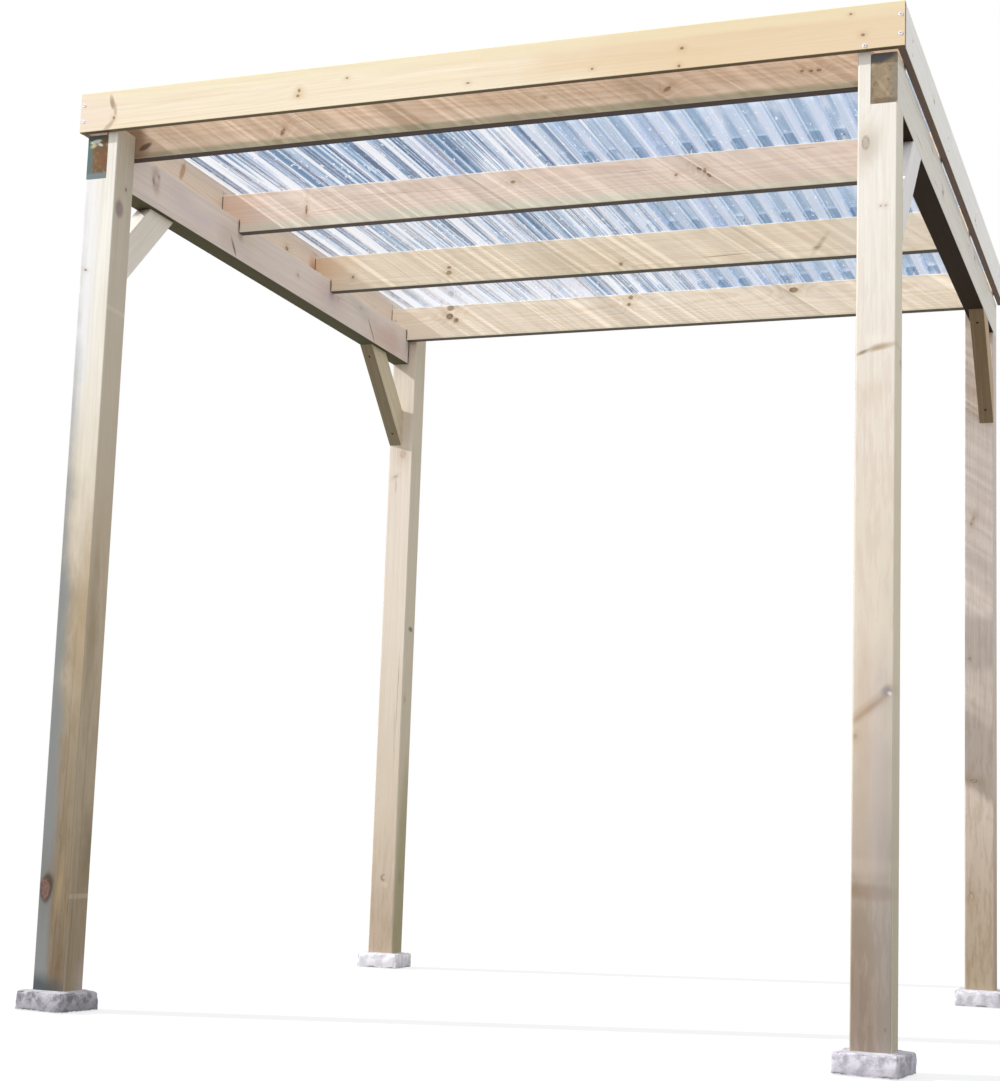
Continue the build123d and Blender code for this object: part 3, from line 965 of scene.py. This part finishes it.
def makePad(node, material, seed):
    copy = bpy.data.objects.new(f"{node}_rough", nodes[node].data.copy())
    scene.collection.objects.link(copy)
    welded = bmesh.new()
    welded.from_mesh(copy.data)
    bmesh.ops.remove_doubles(welded, verts=welded.verts, dist=pads["weld"])
    welded.to_mesh(copy.data)
    welded.free()
    grid = copy.modifiers.new("grid", "REMESH")
    grid.mode = "VOXEL"
    grid.voxel_size = pads["voxel"]
    dense = bpy.data.meshes.new_from_object(copy.evaluated_get(bpy.context.evaluated_depsgraph_get()))
    copy.modifiers.clear()
    copy.data = dense

    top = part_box(node)[1].z
    middle, postMiddle = middleOf(node), middleOf(node.replace("pad", "post"))
    shift = Vector((seed * 3.1, seed * 1.7, seed * 0.9))
    turn = Matrix.Rotation(math.radians(pads["frontTurn"] if "front" in node else 0), 3, "Z")

    def grain(point, scale):
        return noise.noise(point * scale + shift)

    normals = [vertex.normal.copy() for vertex in dense.vertices]
    for vertex, normal in zip(dense.vertices, normals):
        point = vertex.co
        local = turn @ (point - middle)
        onSeat = max(abs(point.x - postMiddle.x), abs(point.y - postMiddle.y)) < pads["seat"]
        if onSeat and point.z > top - pads["seatDepth"]:
            continue
        depths = [pads["side"] / 2 - abs(reach) for reach in local.xy]
        depths.append(min(top - point.z, point.z + pads["footZone"]))
        edge = max(0.0, 1 - sorted(depths)[1] / pads["chipZone"])  # 1 on an edge, 0 away from it
        chip = max(0.0, grain(point, pads["chipScale"]) + pads["chipShare"])
        chip += 0.5 * max(0.0, grain(point, pads["crumbScale"]))
        inward = edge * chip * pads["chip"]
        inward += (grain(point, pads["swellScale"]) * 0.5 + 0.5) * pads["swell"]
        inward += (grain(point, pads["gritScale"]) * 0.5 + 0.5) * pads["grit"]
        moved = point - normal * inward
        moved.z = max(0.0, moved.z)
        vertex.co = moved
    for polygon in dense.polygons:
        polygon.use_smooth = True
    dense.materials.clear()
    dense.materials.append(material)
    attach(copy, "root")
    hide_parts(node)


# each pad takes its own pair of tones, painted darker or paler for the light it stands in
for number, (corner, litAndShadedPatchTones) in enumerate(pads["litAndShadedPatchTones"].items()):
    makePad(f"{corner}_pad", makeConcrete(f"{corner}_concrete", *litAndShadedPatchTones), 1.0 + number)
print("stage: pads")


# Fasteners: one geometry tree makes every kind of screw at points that carry their aim

screws = {
    "board": {
        "Head Radius": 4.8 * mm, "Head Height": 1.2 * mm, "Head Sides": 24, "Recess Width": 1.6 * mm,
        "Washer Radius": 5.2 * mm, "Washer Height": 0.3 * mm,
        "Shank Radius": 2.2 * mm, "Shank Length": 40 * mm,
    },
    "brace": {
        "Head Radius": 4.0 * mm, "Head Height": 1.5 * mm, "Head Sides": 24, "Recess Width": 1.6 * mm,
        "Washer Radius": 4.2 * mm, "Washer Height": 0.3 * mm,
        "Shank Radius": 2.4 * mm, "Shank Length": 60 * mm,
    },
    "roof": {
        "Head Radius": 4.6 * mm, "Head Height": 4.4 * mm, "Head Sides": 6, "Recess Width": 1.2 * mm,
        "Washer Radius": 7.0 * mm, "Washer Height": 1.6 * mm,
        "Shank Radius": 2.0 * mm, "Shank Length": 44 * mm,
    },
    "headTaper": 0.82,
    "washerTaper": 0.85,
    "washerSides": 24,
    "shankSides": 12,
    "fasciaHeights": (30 * mm, 75 * mm),  # above the lower edge
    "sideHeights": (25 * mm, 60 * mm),
    "tonguePlace": (0.988, 2.284),
    "toePlace": (1.042, 2.305),
    "braceInset": 50 * mm,
    "braceSink": 12 * mm,
    "roofFirst": -0.875,
    "roofStep": 0.420,
    "roofCount": 5,
    "zincTone": "f0f0f4",
    "dullTone": "c4c3c9",
    "rustTone": "8a5a3a",
}


def makeSteel():
    material, graph = startMaterial("zinc_steel")
    place = graph.node("TexCoord", output="Object")
    bloom = cloud(place, (260, 260, 260), 3.0, 3, 0.6)
    colour = blend(bloom.step(0.4, 0.7), hue(screws["zincTone"]), hue(screws["dullTone"]))
    colour = blend(bloom.step(0.7, 0.82, 0.5), colour, hue(screws["rustTone"]))
    surface = graph.node("BsdfPrincipled", None, {
        "Base Color": colour, "Metallic": 0.35, "Roughness": bloom * 0.3 + 0.3})
    graph.node("OutputMaterial", None, {"Surface": surface}, None)
    return material


def makeScrewTree(material):
    tree = bpy.data.node_groups.new("screws", "GeometryNodeTree")
    tree.interface.new_socket("Geometry", in_out="INPUT", socket_type="NodeSocketGeometry")
    for label, value in screws["board"].items():
        kind = "NodeSocketInt" if isinstance(value, int) else "NodeSocketFloat"
        tree.interface.new_socket(label, in_out="INPUT", socket_type=kind)
    tree.interface.new_socket("Geometry", in_out="OUTPUT", socket_type="NodeSocketGeometry")
    graph = Wire(tree)
    points = graph.node("NodeGroupInput", output="Geometry")
    headHeight, washerHeight = points.other("Head Height"), points.other("Washer Height")
    headRadius, washerRadius = points.other("Head Radius"), points.other("Washer Radius")
    recess, length = points.other("Recess Width"), points.other("Shank Length")

    def lifted(shape, rise):
        shift = graph.node("CombineXYZ", None, {"Z": rise})
        return graph.node("GeometryNodeTransform", None, {"Geometry": shape, "Translation": shift})

    def slotBox(sizeX, sizeY):
        size = graph.node("CombineXYZ", None, {"X": sizeX, "Y": sizeY, "Z": headHeight})
        return lifted(graph.node("GeometryNodeMeshCube", None, {"Size": size}, "Mesh"), headHeight)

    def cone(sides, radius, taper, depth):
        return graph.node("GeometryNodeMeshCone", None, {
            "Vertices": sides, "Radius Top": radius * taper, "Radius Bottom": radius, "Depth": depth}, "Mesh")

    head = cone(points.other("Head Sides"), headRadius, screws["headTaper"], headHeight)
    cross = [slotBox(headRadius, recess), slotBox(recess, headRadius)]
    head = graph.node("GeometryNodeMeshBoolean", {"operation": "DIFFERENCE"}, {
        "Mesh 1": head, "Mesh 2": cross}, "Mesh")
    washer = cone(screws["washerSides"], washerRadius, screws["washerTaper"], washerHeight)
    shank = graph.node("GeometryNodeMeshCylinder", None, {
        "Vertices": screws["shankSides"], "Radius": points.other("Shank Radius"), "Depth": length}, "Mesh")
    screw = graph.node("GeometryNodeJoinGeometry", None, {
        "Geometry": [lifted(head, washerHeight), washer, lifted(shank, length * -0.5)]})
    aim = graph.node("GeometryNodeInputNamedAttribute", {"data_type": "FLOAT_VECTOR"}, {
        "Name": "aim"}, "Attribute")
    turn = graph.node("FunctionNodeAlignRotationToVector", {"axis": "Z"}, {"Vector": aim})
    placed = graph.node("GeometryNodeInstanceOnPoints", None, {
        "Points": points, "Instance": screw, "Rotation": turn})
    whole = graph.node("GeometryNodeRealizeInstances", None, {"Geometry": placed})
    whole = graph.node("GeometryNodeSetMaterial", None, {"Geometry": whole, "Material": material})
    graph.node("NodeGroupOutput", None, {"Geometry": whole}, None)
    return tree


def makeScrews(name, tree, sizes, places):
    mesh = bpy.data.meshes.new(name)
    mesh.from_pydata([place for place, aim in places], [], [])
    aims = mesh.attributes.new("aim", "FLOAT_VECTOR", "POINT")
    for entry, (place, aim) in zip(aims.data, places):
        entry.vector = aim
    piece = bpy.data.objects.new(name, mesh)
    scene.collection.objects.link(piece)
    modifier = piece.modifiers.new("screws", "NODES")
    modifier.node_group = tree
    for socket in tree.interface.items_tree:
        if socket.in_out == "INPUT" and socket.name in sizes:
            modifier[socket.identifier] = sizes[socket.name]
    piece.data = bpy.data.meshes.new_from_object(piece.evaluated_get(bpy.context.evaluated_depsgraph_get()))
    piece.modifiers.clear()
    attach(piece, "root")


def fasciaPlaces():
    low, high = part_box("front_fascia")
    endX = high.x - (high.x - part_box("right_fascia")[0].x) / 2
    spots = [(side * endX, low.z + rise) for side in (-1, 1) for rise in screws["fasciaHeights"]]
    spots.append(screws["tonguePlace"])
    places = [((x, low.y, z), (0, -1, 0)) for x, z in spots]
    for side, name in ((-1, "left_fascia"), (1, "right_fascia")):
        low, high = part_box(name)
        face = high.x if side > 0 else low.x
        for rafter in rafters:
            y = middleOf(rafter).y
            places += [((face, y, low.z + rise), (side, 0, 0)) for rise in screws["sideHeights"]]
    return places


def toePlaces():
    x, z = screws["toePlace"]
    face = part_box("rear_rafter")[0].y
    return [((side * x, face, z), (0, -1, 0)) for side in (-1, 1)]


def bracePlaces():
    places = []
    for corner in corners:
        low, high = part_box(f"{corner}_brace")
        inward = 1 if "front" in corner else -1
        foot = Vector(((low.x + high.x) / 2, low.y if inward > 0 else high.y, low.z))
        along = Vector((0, inward, 1)).normalized()
        out = Vector((0, inward, -1)).normalized()
        length = math.sqrt(2) * (high.z - low.z)
        for reach in (screws["braceInset"], length - screws["braceInset"]):
            places.append((foot + along * reach - out * screws["braceSink"], out))
    return places


def roofPlaces():
    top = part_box("left_roof_sheet")[1].z
    columns = [screws["roofFirst"] + screws["roofStep"] * number for number in range(screws["roofCount"])]
    return [((x, middleOf(rafter).y, top), (0, 0, 1)) for x in columns for rafter in rafters]


screwTree = makeScrewTree(makeSteel())
makeScrews("board_screws", screwTree, screws["board"], fasciaPlaces() + toePlaces())
makeScrews("brace_screws", screwTree, screws["brace"], bracePlaces())
makeScrews("roof_screws", screwTree, screws["roof"], roofPlaces())
print("stage: fasteners")


print("stage: done")
